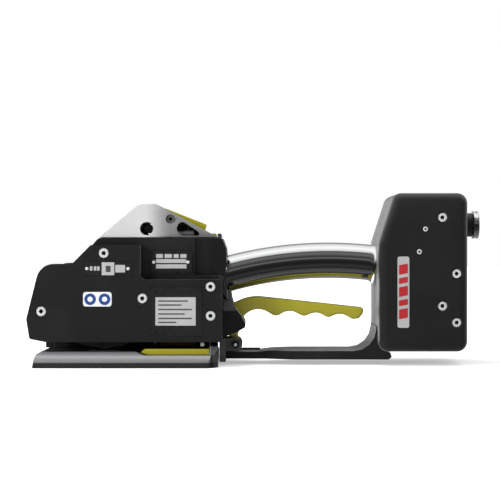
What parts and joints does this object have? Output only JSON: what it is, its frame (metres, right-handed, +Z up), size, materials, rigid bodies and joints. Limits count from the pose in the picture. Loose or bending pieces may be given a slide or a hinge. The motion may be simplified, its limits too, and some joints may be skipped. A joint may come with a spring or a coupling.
{
  "type": "pneumatic strapping tool",
  "caption": "Hand-held air-driven combination tool that tensions, friction-welds and cuts plastic strap, with a tubular grip and a squeeze lever.",
  "frame": {"origin": "middle of the overall length and width, on the standing plane under the base plate", "axes": "+X runs along the tool from the strap head to the rear housing, +Z is up, and -Y is the open side where the strap goes in"},
  "size_m": [0.4199, 0.14, 0.1592],
  "materials": {
    "black_casting": "satin black powder coat on cast and milled aluminium",
    "black_steel": "satin black coat on steel plate",
    "grey_steel": "grey phosphated steel plate",
    "black_plastic": "fine-grained satin black moulding",
    "black_oxide": "black-oxide fastener steel",
    "hood_aluminium": "satin-blasted bare aluminium, brushed bevels",
    "chrome_tube": "bright plated, lightly satin",
    "zinc_screw": "bright zinc plated",
    "bare_aluminium": "milled aluminium block",
    "base_steel": "ground and worn steel",
    "machined_steel": "turned and ground steel",
    "spring_steel": "bright spring wire",
    "yellow_paint": "olive-yellow paint on an aluminium forging, slightly orange-peeled",
    "yellow_plastic": "yellow moulding",
    "bronze_shoe": "heat-browned bronze",
    "black_rubber": "matt rubber",
    "label_plate": "anodised dark plate with silver fields and no text"
  },
  "bodies": {
    "head": {"base_plate": "base_steel", "gripper_plate": "machined_steel", "weld_anvil": "machined_steel", "strap_rail": "yellow_paint", "rear_strap_guide": "chrome_tube", "front_strap_stop": "black_steel", "head_casting": "black_casting", "side_cover": "black_casting", "far_cover": "black_casting", "exhaust_cap": "black_plastic", "hood": "hood_aluminium", "rear_block": "black_casting", "foot_plate": "grey_steel", "lever_bracket": "black_plastic", "name_plate": "label_plate", "rating_plate": "label_plate", "service_plate": "label_plate", "flange_screw_near": "black_oxide", "flange_screw_far": "black_oxide", "handle_tube": "chrome_tube", "support_frame": "black_casting", "housing_shell_near": "black_plastic", "housing_shell_far": "black_plastic", "housing_gasket": "black_rubber", "valve_block": "bare_aluminium", "air_inlet_body": "black_casting", "lever_pin": "zinc_screw", "lever_spring": "black_oxide", "tension_motor": "machined_steel", "rocker_spring": "spring_steel", "weld_cylinder": "machined_steel", "weld_spring": "spring_steel", "weld_motor": "machined_steel", "paddle_pin": "zinc_screw", "side_cover_screw_1": "zinc_screw", "side_cover_screw_2": "zinc_screw", "side_cover_screw_3": "zinc_screw", "side_cover_screw_4": "zinc_screw", "side_cover_screw_5": "zinc_screw", "housing_screw_1": "zinc_screw", "housing_screw_2": "zinc_screw", "housing_screw_3": "zinc_screw", "housing_screw_4": "zinc_screw"},
    "hand_lever": {"hand_lever": "yellow_paint"},
    "lift_rod": {"lift_rod": "machined_steel"},
    "rocker": {"rocker": "black_steel"},
    "feed_wheel": {"feed_wheel": "machined_steel", "wheel_gear": "machined_steel"},
    "idler": {"idler_gear": "machined_steel"},
    "tension_rotor": {"tension_rotor": "machined_steel"},
    "weld_press": {"weld_piston": "machined_steel", "cutter_blade": "machined_steel"},
    "weld_shoe": {"weld_shoe": "bronze_shoe"},
    "weld_rotor": {"eccentric_shaft": "machined_steel"},
    "tension_paddle": {"tension_paddle": "yellow_plastic"},
    "tension_valve": {"tension_spool": "machined_steel"},
    "seal_button": {"seal_button": "yellow_plastic", "seal_button_tip": "bare_aluminium"},
    "weld_time_screw": {"adjusting_screw": "zinc_screw"},
    "inlet_swivel": {"inlet_swivel": "chrome_tube"}
  },
  "joints": [
    {"name": "lever_squeeze", "type": "hinge", "parent": "head", "child": "hand_lever", "pos_m": [-0.0199, 0, 0.0183], "axis": [0, -1, 0], "range_deg": [0, 18], "stiffness_Nm_per_rad": 0.6, "springref_deg": -20.05},
    {"name": "lift_rod_slide", "type": "slide", "parent": "head", "child": "lift_rod", "axis": [-1, 0, 0], "range_m": [0, 0.0125]},
    {"name": "rocker_lift", "type": "hinge", "parent": "head", "child": "rocker", "pos_m": [-0.176, 0, 0.066], "axis": [0, -1, 0], "range_deg": [0, 4], "deforming": ["rocker_spring"]},
    {"name": "wheel_spin", "type": "hinge", "parent": "rocker", "child": "feed_wheel", "pos_m": [-0.14, 0, 0.036], "axis": [0, 1, 0], "continuous": true},
    {"name": "idler_spin", "type": "hinge", "parent": "rocker", "child": "idler", "pos_m": [-0.15202, 0, 0.06512], "axis": [0, 1, 0], "continuous": true},
    {"name": "rotor_spin", "type": "hinge", "parent": "rocker", "child": "tension_rotor", "pos_m": [-0.176, 0, 0.066], "axis": [0, 1, 0], "continuous": true},
    {"name": "weld_press_slide", "type": "slide", "parent": "head", "child": "weld_press", "axis": [0, 0, -1], "range_m": [0, 0.0028], "stiffness_N_per_m": 2500, "springref_m": -0.003, "deforming": ["weld_spring"]},
    {"name": "weld_vibration", "type": "slide", "parent": "weld_press", "child": "weld_shoe", "axis": [1, 0, 0], "range_m": [-0.0008, 0.0008], "stiffness_N_per_m": 6000},
    {"name": "weld_rotor_spin", "type": "hinge", "parent": "head", "child": "weld_rotor", "pos_m": [-0.057, 0, 0.036], "axis": [0, 1, 0], "continuous": true},
    {"name": "paddle_press", "type": "hinge", "parent": "head", "child": "tension_paddle", "pos_m": [-0.0805, 0, 0.1385], "axis": [0, 1, 0], "range_deg": [0, 6], "stiffness_Nm_per_rad": 0.4, "springref_deg": -8.59},
    {"name": "tension_valve_slide", "type": "slide", "parent": "head", "child": "tension_valve", "axis": [0, 0, -1], "range_m": [0, 0.0015]},
    {"name": "button_press", "type": "slide", "parent": "head", "child": "seal_button", "axis": [0, 0, -1], "range_m": [0, 0.003], "stiffness_N_per_m": 700, "springref_m": -0.002},
    {"name": "weld_time_turn", "type": "hinge", "parent": "head", "child": "weld_time_screw", "pos_m": [-0.07, -0.025, 0.1219], "axis": [1, 0, 0], "range_deg": [-180, 180]},
    {"name": "inlet_turn", "type": "hinge", "parent": "head", "child": "inlet_swivel", "pos_m": [0.207, 0, 0.1305], "axis": [1, 0, 0], "continuous": true}
  ],
  "couplings": [
    {"joint": "lift_rod_slide", "follows": "lever_squeeze", "m_per_rad": 0.0377},
    {"joint": "rocker_lift", "follows": "lever_squeeze", "ratio": 0.21},
    {"joint": "idler_spin", "follows": "wheel_spin", "ratio": -1.1},
    {"joint": "rotor_spin", "follows": "wheel_spin", "ratio": 1.8333},
    {"joint": "paddle_press", "follows": "tension_valve_slide", "rad_per_m": 68.966}
  ]
}
